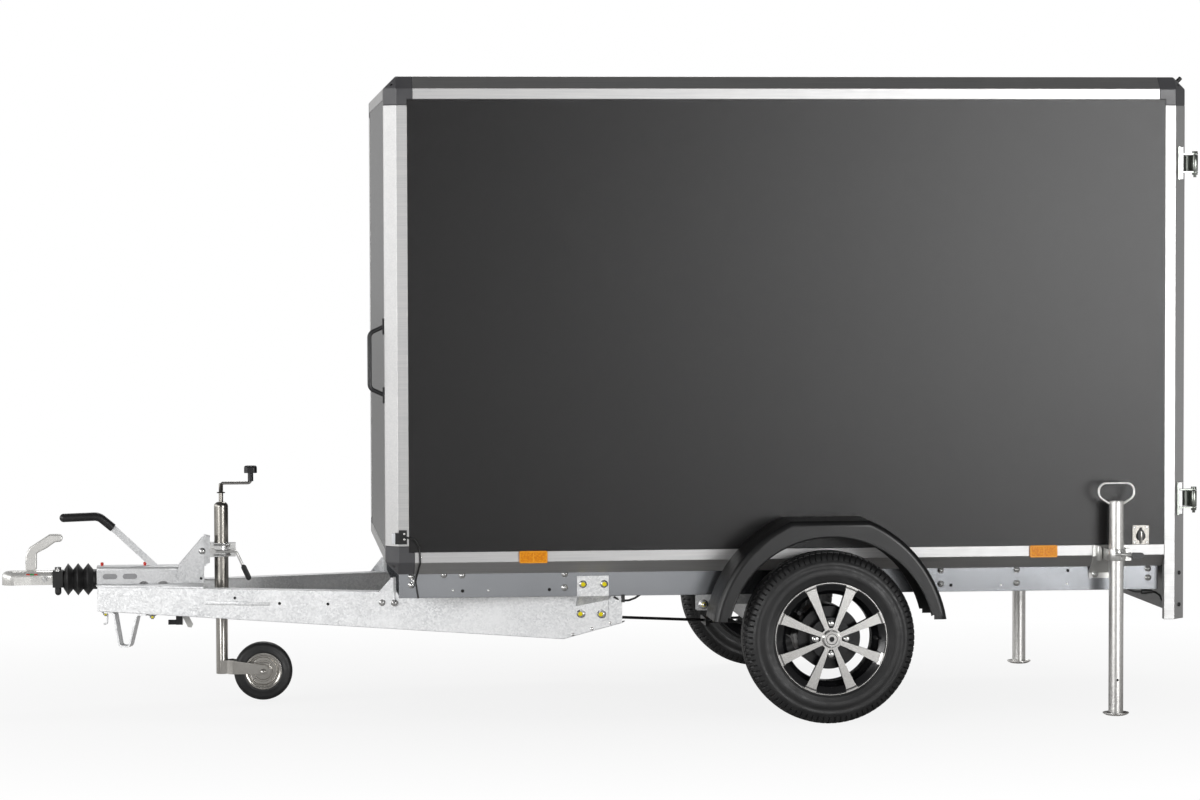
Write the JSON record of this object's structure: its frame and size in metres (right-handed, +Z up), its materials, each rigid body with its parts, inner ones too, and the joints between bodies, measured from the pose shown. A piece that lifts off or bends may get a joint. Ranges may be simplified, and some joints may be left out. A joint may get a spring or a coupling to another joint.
{
  "type": "box cargo trailer",
  "caption": "Box cargo trailer with a braked axle, a V drawbar with overrun ball coupling, a support wheel, rear support legs and hinged rear doors.",
  "frame": {"origin": "on the floor, under the middle of the overall length and width", "axes": "+X towards the rear doors, +Y towards the trailer's right side, +Z up"},
  "size_m": [3.969, 1.853, 2.1077],
  "materials": {
    "panel_board": "fine textured film on plywood",
    "roof_board": "smooth white-grey",
    "floor_board": "screen printed plywood",
    "alu_profile": "anodised satin",
    "cap_plastic": "matt",
    "lamp_red": "clear gloss",
    "plate_white": "blank",
    "galvanised": "hot-dip galvanised, spangled",
    "zinc_plate": "bright zinc",
    "rail_coat": "galvanised grey",
    "black_steel": "satin black",
    "rubber_black": "matt",
    "tyre_rubber": "matt",
    "rim_black": "gloss black with turned spokes",
    "guard_plastic": "grained",
    "amber": "reflector",
    "grip_plastic": "matt",
    "lamp_front": "black body, clear lens"
  },
  "bodies": {
    "trailer": {"axle_brackets": "galvanised", "axle_tube": "galvanised", "bellows": "rubber_black", "brake_grip": "grip_plastic", "brake_lever": "galvanised", "brake_rod": "black_steel", "chassis_rails": "rail_coat", "clamp_lever": "zinc_plate", "corner_caps": "cap_plastic", "coupling_handle": "zinc_plate", "coupling_head": "zinc_plate", "cross_members": "rail_coat", "door_catches": "zinc_plate", "drawbar_left": "galvanised", "drawbar_right": "galvanised", "drawtube": "black_steel", "end_rails": "alu_profile", "floor_panel": "floor_board", "frame_brackets": "galvanised", "front_lamps": "lamp_front", "front_panel": "panel_board", "front_posts": "alu_profile", "grab_handle": "black_steel", "hinge_brackets": "zinc_plate", "hook_loop": "galvanised", "jockey_bracket": "galvanised", "jockey_clamp": "zinc_plate", "lamp_leads": "rubber_black", "leg_clamps": "zinc_plate", "mudguards": "guard_plastic", "number_plate": "plate_white", "overrun_housing": "galvanised", "rear_posts": "alu_profile", "rear_skirt": "panel_board", "roof_panel": "roof_board", "rubber_buffers": "rubber_black", "side_panel_left": "panel_board", "side_panel_right": "panel_board", "side_rails": "alu_profile", "side_reflectors": "amber", "swing_arms": "black_steel", "tail_lamps": "lamp_red"},
    "wheel_left": {"rim_left": "rim_black", "tyre_left": "tyre_rubber"},
    "wheel_right": {"rim_right": "rim_black", "tyre_right": "tyre_rubber"},
    "leg_left": {"support_leg_left": "galvanised"},
    "leg_right": {"support_leg_right": "galvanised"},
    "jockey_post": {"jockey_tube": "zinc_plate", "jockey_crank": "zinc_plate"},
    "jockey_swivel_leg": {"jockey_fork": "zinc_plate"},
    "jockey_wheel": {"jockey_rim": "zinc_plate", "jockey_tyre": "tyre_rubber"},
    "rear_door_left": {"door_left": "panel_board", "door_hinges_left": "zinc_plate", "door_rod_left": "zinc_plate"},
    "rear_door_right": {"door_right": "panel_board", "door_hinges_right": "zinc_plate", "door_rod_right": "zinc_plate"}
  },
  "joints": [
    {"name": "wheel_left_spin", "type": "hinge", "parent": "trailer", "child": "wheel_left", "pos_m": [0.721, -0.837, 0.281], "axis": [0, 1, 0], "continuous": true},
    {"name": "wheel_right_spin", "type": "hinge", "parent": "trailer", "child": "wheel_right", "pos_m": [0.721, 0.837, 0.281], "axis": [0, 1, 0], "continuous": true},
    {"name": "jockey_slide", "type": "slide", "parent": "trailer", "child": "jockey_post", "axis": [0, 0, 1], "range_m": [0, 0.17]},
    {"name": "jockey_swivel", "type": "hinge", "parent": "jockey_post", "child": "jockey_swivel_leg", "pos_m": [-1.241, 0, 0.31], "axis": [0, 0, 1], "continuous": true},
    {"name": "jockey_spin", "type": "hinge", "parent": "jockey_swivel_leg", "child": "jockey_wheel", "pos_m": [-1.101, 0, 0.1], "axis": [0, 1, 0], "continuous": true},
    {"name": "leg_left_slide", "type": "slide", "parent": "trailer", "child": "leg_left", "axis": [0, 0, 1], "range_m": [0, 0.4]},
    {"name": "leg_right_slide", "type": "slide", "parent": "trailer", "child": "leg_right", "axis": [0, 0, 1], "range_m": [0, 0.4]},
    {"name": "door_left_hinge", "type": "hinge", "parent": "trailer", "child": "rear_door_left", "pos_m": [1.974, -0.6815, 1.293], "axis": [0, 0, -1], "range_deg": [0, 250]},
    {"name": "door_right_hinge", "type": "hinge", "parent": "trailer", "child": "rear_door_right", "pos_m": [1.974, 0.6815, 1.293], "axis": [0, 0, 1], "range_deg": [0, 250]}
  ]
}
